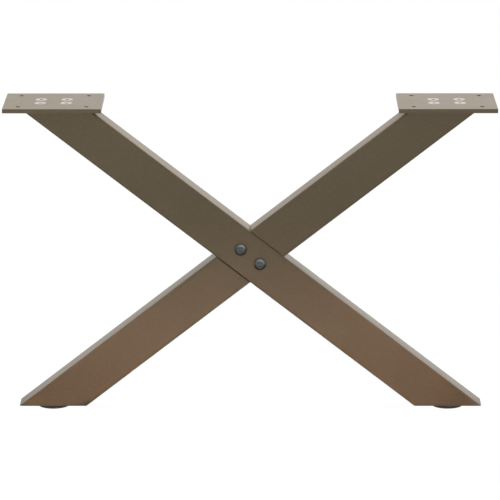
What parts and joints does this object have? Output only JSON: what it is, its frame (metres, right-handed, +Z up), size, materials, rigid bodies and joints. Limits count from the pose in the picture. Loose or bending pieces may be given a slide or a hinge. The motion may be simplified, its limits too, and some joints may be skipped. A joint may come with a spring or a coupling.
{
  "type": "x shaped table leg",
  "caption": "X shaped table leg of two half-lapped rectangular steel tubes bolted at the crossing, with screwed top plates and levelling feet.",
  "frame": {"origin": "on the floor, under the crossing, at the bottom centre of the bounding box", "axes": "+Z up, +X across the X to the right seen from the front, -Y towards the front where the bolt heads are"},
  "size_m": [0.7, 0.115, 0.45],
  "materials": {
    "mocha_powder_coat": "semi-gloss mocha brown powder coat",
    "zinc_steel": "bright zinc plated",
    "blued_zinc_steel": "grey zinc-nickel plated",
    "bare_steel": "mill finish, unpainted",
    "dark_nylon": "matt moulded nylon"
  },
  "bodies": {
    "frame": {"front_tube": "mocha_powder_coat", "rear_tube": "mocha_powder_coat", "left_top_plate": "mocha_powder_coat", "right_top_plate": "mocha_powder_coat", "front_saddle": "mocha_powder_coat", "rear_saddle": "mocha_powder_coat", "left_head_plate": "mocha_powder_coat", "right_head_plate": "mocha_powder_coat", "left_sole_plate": "mocha_powder_coat", "right_sole_plate": "mocha_powder_coat", "upper_spacer_sleeve": "bare_steel", "lower_spacer_sleeve": "bare_steel", "upper_crossing_nut": "bare_steel", "lower_crossing_nut": "bare_steel", "left_foot_nut": "bare_steel", "right_foot_nut": "bare_steel", "upper_crossing_bolt": "blued_zinc_steel", "lower_crossing_bolt": "blued_zinc_steel", "left_plate_screw_1": "zinc_steel", "left_plate_screw_2": "zinc_steel", "left_plate_screw_3": "zinc_steel", "left_plate_screw_4": "zinc_steel", "right_plate_screw_1": "zinc_steel", "right_plate_screw_2": "zinc_steel", "right_plate_screw_3": "zinc_steel", "right_plate_screw_4": "zinc_steel"},
    "left_foot": {"left_foot_pad": "dark_nylon", "left_foot_stud": "zinc_steel"},
    "right_foot": {"right_foot_pad": "dark_nylon", "right_foot_stud": "zinc_steel"}
  },
  "joints": [
    {"name": "left_foot_screw", "type": "slide", "parent": "frame", "child": "left_foot", "axis": [0, 0, -1], "range_m": [0, 0.012]},
    {"name": "right_foot_screw", "type": "slide", "parent": "frame", "child": "right_foot", "axis": [0, 0, -1], "range_m": [0, 0.012]}
  ]
}
